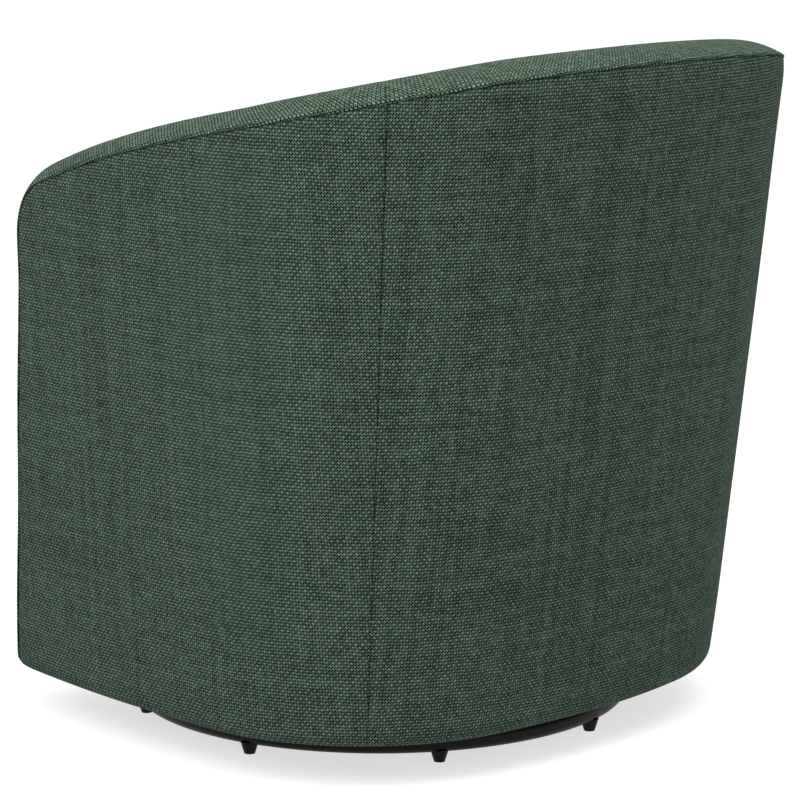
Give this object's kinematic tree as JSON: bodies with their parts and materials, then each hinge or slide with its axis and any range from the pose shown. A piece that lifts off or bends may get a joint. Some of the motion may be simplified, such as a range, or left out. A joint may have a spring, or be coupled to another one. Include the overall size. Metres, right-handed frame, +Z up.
{
  "type": "swivel_barrel_chair",
  "caption": "Upholstered swivel barrel armchair in green linen-look fabric, with a wide rim band, a loose seat cushion and a low black ring base",
  "frame": {"origin": "On the floor, below the middle of the chair's width and depth", "axes": "+Z up, the chair faces -Y, +X is the sitter's left; the swivel axis is parallel to Z, 40 mm in front of the origin"},
  "size_m": [0.7042, 0.6855, 0.7066],
  "materials": {
    "upholstery": "deep green melange plain weave, linen look",
    "board": "raw plywood and beech",
    "fibreboard": "thin brown fibreboard",
    "foam": "cut cream foam",
    "webbing": "jute webbing and burlap",
    "decking": "black nonwoven decking over a pad",
    "cambric": "thin black nonwoven dust cover",
    "black_tube": "satin black powder coat",
    "zinc_steel": "bright zinc-plated steel",
    "spring_wire": "oiled spring steel",
    "glide_plastic": "moulded black nylon"
  },
  "bodies": {
    "base": {"base_ring": "black_tube", "cross_bar_long": "black_tube", "cross_bars_short": "black_tube", "floor_glides": "glide_plastic", "swivel_lower_plate": "zinc_steel", "swivel_balls": "zinc_steel", "ball_cage": "glide_plastic", "pivot_stud": "zinc_steel", "pivot_washer": "zinc_steel", "pivot_nut": "zinc_steel", "lower_plate_bolts": "zinc_steel", "lower_plate_nuts": "zinc_steel"},
    "seat_body": {"arm_front_facing_left": "board", "arm_front_facing_right": "board", "arm_front_post_left": "board", "arm_front_post_right": "board", "bottom_board": "board", "centre_back_post": "board", "corner_block_left": "board", "corner_block_right": "board", "deck_pad": "decking", "dust_cover": "cambric", "front_apron": "upholstery", "front_seat_rail": "board", "inner_webbing": "webbing", "inside_arm_cover_left": "upholstery", "inside_arm_cover_right": "upholstery", "inside_arm_foam_left": "foam", "inside_arm_foam_right": "foam", "inside_back_cover": "upholstery", "inside_back_foam": "foam", "lining_arm_left": "fibreboard", "lining_arm_right": "fibreboard", "lining_back": "fibreboard", "outer_panel_back": "upholstery", "outer_panel_left": "upholstery", "outer_panel_right": "upholstery", "rear_seat_rail": "board", "rim_band_back": "upholstery", "rim_band_left": "upholstery", "rim_band_right": "upholstery", "rim_padding_back": "foam", "rim_padding_left": "foam", "rim_padding_right": "foam", "seat_springs": "spring_wire", "shoulder_post_left": "board", "shoulder_post_right": "board", "side_post_left": "board", "side_post_right": "board", "side_seat_rail_left": "board", "side_seat_rail_right": "board", "spring_clips": "zinc_steel", "swivel_upper_plate": "zinc_steel", "top_rail_back": "board", "top_rail_left": "board", "top_rail_right": "board", "upper_plate_bolts": "zinc_steel", "upper_tee_nuts": "zinc_steel"},
    "cushion": {"seat_cushion": "upholstery"}
  },
  "joints": [
    {"name": "swivel", "type": "hinge", "parent": "base", "child": "seat_body", "pos_m": [0, -0.04023, 0], "axis": [0, 0, 1], "continuous": true},
    {"name": "cushion_lift", "type": "slide", "parent": "seat_body", "child": "cushion", "axis": [0, 0, 1], "range_m": [0, 0.45]}
  ]
}
